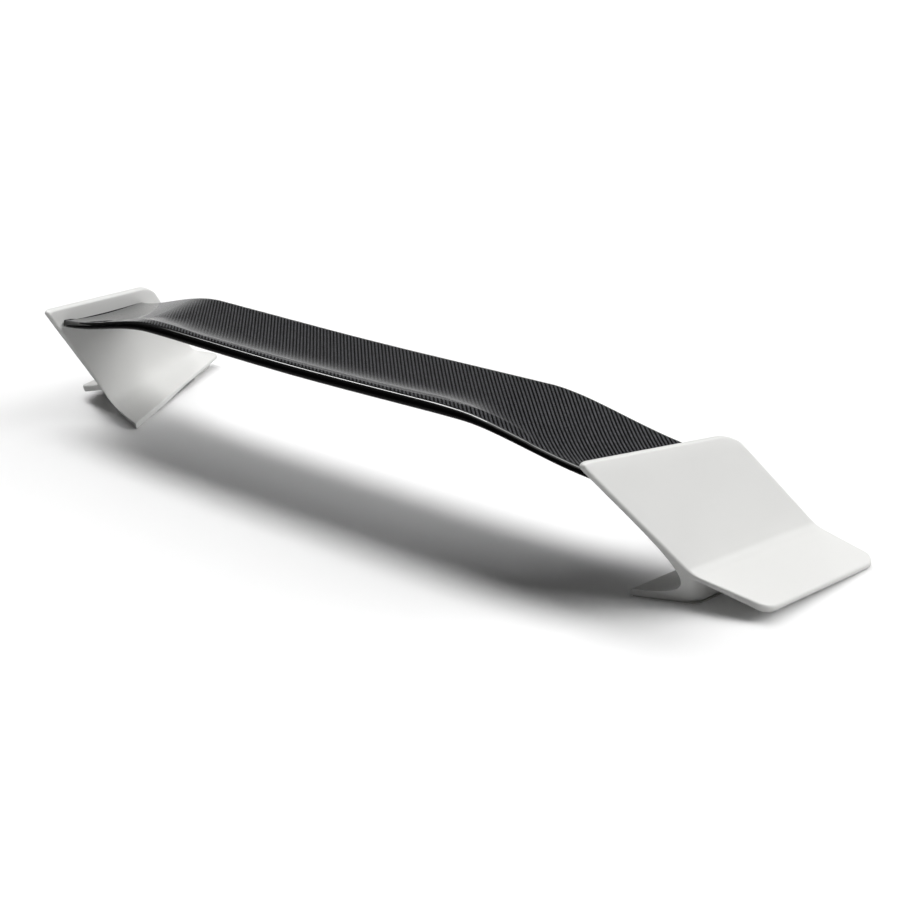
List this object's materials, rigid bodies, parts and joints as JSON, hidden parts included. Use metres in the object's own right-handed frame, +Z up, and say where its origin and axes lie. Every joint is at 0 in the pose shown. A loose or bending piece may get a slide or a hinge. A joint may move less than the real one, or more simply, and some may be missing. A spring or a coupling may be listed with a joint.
{
  "type": "racing rear wing",
  "caption": "Rear wing for a car's boot lid: a drooped carbon-fibre blade with a raised trailing lip, carried between white raked stands with outboard winglets and flat feet.",
  "frame": {"origin": "middle of the part's outline in plan, on the plane the two feet stand on", "axes": "+X to the car's right along the blade, +Y forwards, +Z up"},
  "size_m": [1.4168, 0.375, 0.2533],
  "materials": {
    "carbon_twill": "clear-coated twill carbon laminate",
    "white_paint": "satin white paint on moulded shells",
    "spar_laminate": "bare laminate",
    "nylon_rib": "moulded, filled nylon",
    "brass_insert": "turned and knurled",
    "rubber_gasket": "cut from sheet",
    "zinc_steel": "zinc plated",
    "aluminium_plate": "sawn plate"
  },
  "bodies": {
    "root": {"blade_upper_skin": "carbon_twill", "blade_lower_skin": "carbon_twill", "blade_front_spar": "spar_laminate", "blade_rear_spar": "spar_laminate", "blade_end_rib_right": "nylon_rib", "tip_gasket_right": "rubber_gasket", "stand_outer_shell_right": "white_paint", "stand_inner_shell_right": "white_paint", "stand_core_bracket_right": "zinc_steel", "stand_base_plate_right": "aluminium_plate", "foot_gasket_right": "rubber_gasket", "blade_threaded_insert_front_right": "brass_insert", "blade_screw_front_right": "zinc_steel", "screw_washer_front_right": "zinc_steel", "foot_weld_nut_front_right": "zinc_steel", "blade_threaded_insert_rear_right": "brass_insert", "blade_screw_rear_right": "zinc_steel", "screw_washer_rear_right": "zinc_steel", "foot_weld_nut_rear_right": "zinc_steel", "blade_end_rib_left": "nylon_rib", "tip_gasket_left": "rubber_gasket", "stand_outer_shell_left": "white_paint", "stand_inner_shell_left": "white_paint", "stand_core_bracket_left": "zinc_steel", "stand_base_plate_left": "aluminium_plate", "foot_gasket_left": "rubber_gasket", "blade_threaded_insert_front_left": "brass_insert", "blade_screw_front_left": "zinc_steel", "screw_washer_front_left": "zinc_steel", "foot_weld_nut_front_left": "zinc_steel", "blade_threaded_insert_rear_left": "brass_insert", "blade_screw_rear_left": "zinc_steel", "screw_washer_rear_left": "zinc_steel", "foot_weld_nut_rear_left": "zinc_steel"}
  },
  "joints": []
}
